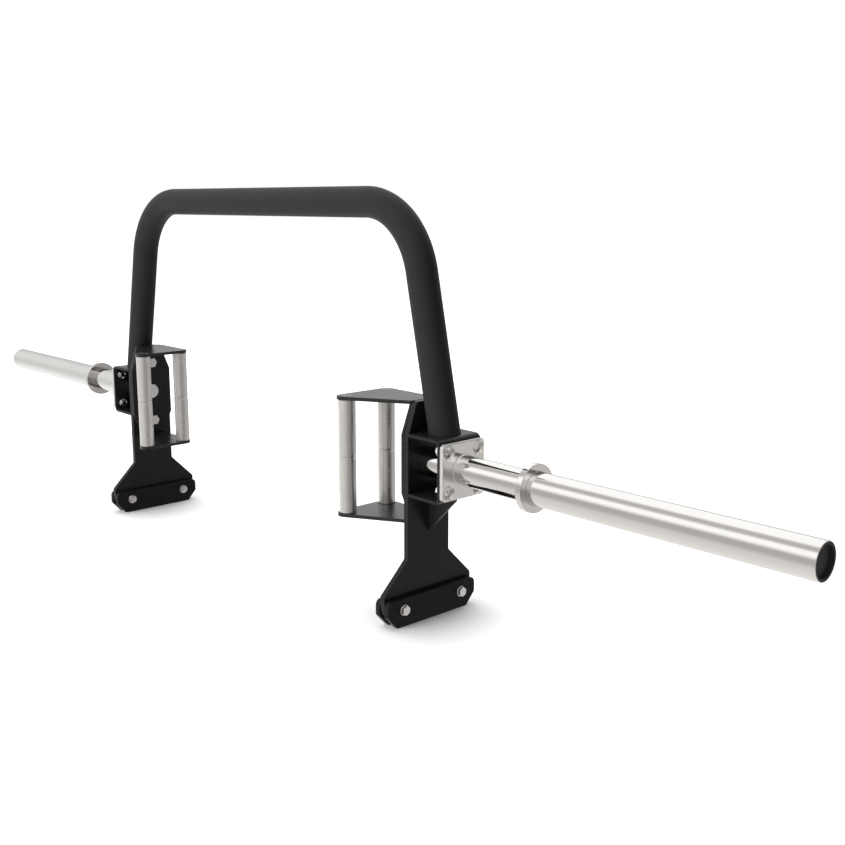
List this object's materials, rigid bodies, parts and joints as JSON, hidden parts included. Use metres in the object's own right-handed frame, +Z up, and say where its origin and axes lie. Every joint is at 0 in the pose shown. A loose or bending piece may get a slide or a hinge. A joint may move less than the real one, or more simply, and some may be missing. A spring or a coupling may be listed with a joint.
{
  "type": "trap bar",
  "caption": "Open trap bar on feet, with an arch over the lifter, upright grips beside each hand and free-turning sleeves for weight plates.",
  "frame": {"origin": "on the floor under the middle of the bar, at the centre of the foot pads' underside plane", "axes": "+X along the sleeves towards the right sleeve, +Z up, +Y from the front grips towards the rear grips; the user stands in the middle and the open front is towards -Y"},
  "size_m": [2.2098, 0.19, 0.682],
  "materials": {
    "powder_coat": "satin black powder coat",
    "chrome": "bright chrome",
    "satin_steel": "satin turned steel",
    "knurled_steel": "fine knurled steel",
    "zinc": "bright zinc plate",
    "bronze": "sintered bronze",
    "spring_steel": "dark spring steel",
    "black_plastic": "black moulded plastic"
  },
  "bodies": {
    "frame": {"arch_tube": "powder_coat", "right_leg_plate": "powder_coat", "right_inner_foot_pad": "black_plastic", "right_outer_foot_pad": "black_plastic", "right_foot_bolt_front": "zinc", "right_foot_bolt_rear": "zinc", "right_foot_nut_front": "zinc", "right_foot_nut_rear": "zinc", "right_sleeve_bracket": "powder_coat", "right_bracket_gusset": "powder_coat", "right_handle_top_plate": "powder_coat", "right_handle_bottom_plate": "powder_coat", "right_handle_back_plate": "powder_coat", "right_handle_bolt_upper": "zinc", "right_handle_bolt_lower": "zinc", "right_front_grip": "knurled_steel", "right_rear_grip": "knurled_steel", "right_sleeve_flange": "satin_steel", "right_flange_screw_front_upper": "zinc", "right_flange_screw_front_lower": "zinc", "right_flange_screw_rear_upper": "zinc", "right_flange_screw_rear_lower": "zinc", "right_sleeve_shaft": "satin_steel", "right_retaining_ring": "spring_steel", "right_hub_tube": "chrome", "left_leg_plate": "powder_coat", "left_inner_foot_pad": "black_plastic", "left_outer_foot_pad": "black_plastic", "left_foot_bolt_front": "zinc", "left_foot_bolt_rear": "zinc", "left_foot_nut_front": "zinc", "left_foot_nut_rear": "zinc", "left_sleeve_bracket": "powder_coat", "left_bracket_gusset": "powder_coat", "left_handle_top_plate": "powder_coat", "left_handle_bottom_plate": "powder_coat", "left_handle_back_plate": "powder_coat", "left_handle_bolt_upper": "zinc", "left_handle_bolt_lower": "zinc", "left_front_grip": "knurled_steel", "left_rear_grip": "knurled_steel", "left_sleeve_flange": "satin_steel", "left_flange_screw_front_upper": "zinc", "left_flange_screw_front_lower": "zinc", "left_flange_screw_rear_upper": "zinc", "left_flange_screw_rear_lower": "zinc", "left_sleeve_shaft": "satin_steel", "left_retaining_ring": "spring_steel", "left_hub_tube": "chrome"},
    "right_sleeve": {"right_sleeve": "chrome", "right_collar": "satin_steel", "right_inner_bushing": "bronze", "right_outer_bushing": "bronze", "right_end_cap": "black_plastic"},
    "left_sleeve": {"left_sleeve": "chrome", "left_collar": "satin_steel", "left_inner_bushing": "bronze", "left_outer_bushing": "bronze", "left_end_cap": "black_plastic"}
  },
  "joints": [
    {"name": "right_sleeve_spin", "type": "hinge", "parent": "frame", "child": "right_sleeve", "pos_m": [0.6604, 0, 0.2565], "axis": [1, 0, 0], "continuous": true},
    {"name": "left_sleeve_spin", "type": "hinge", "parent": "frame", "child": "left_sleeve", "pos_m": [-0.6604, 0, 0.2565], "axis": [1, 0, 0], "continuous": true}
  ]
}
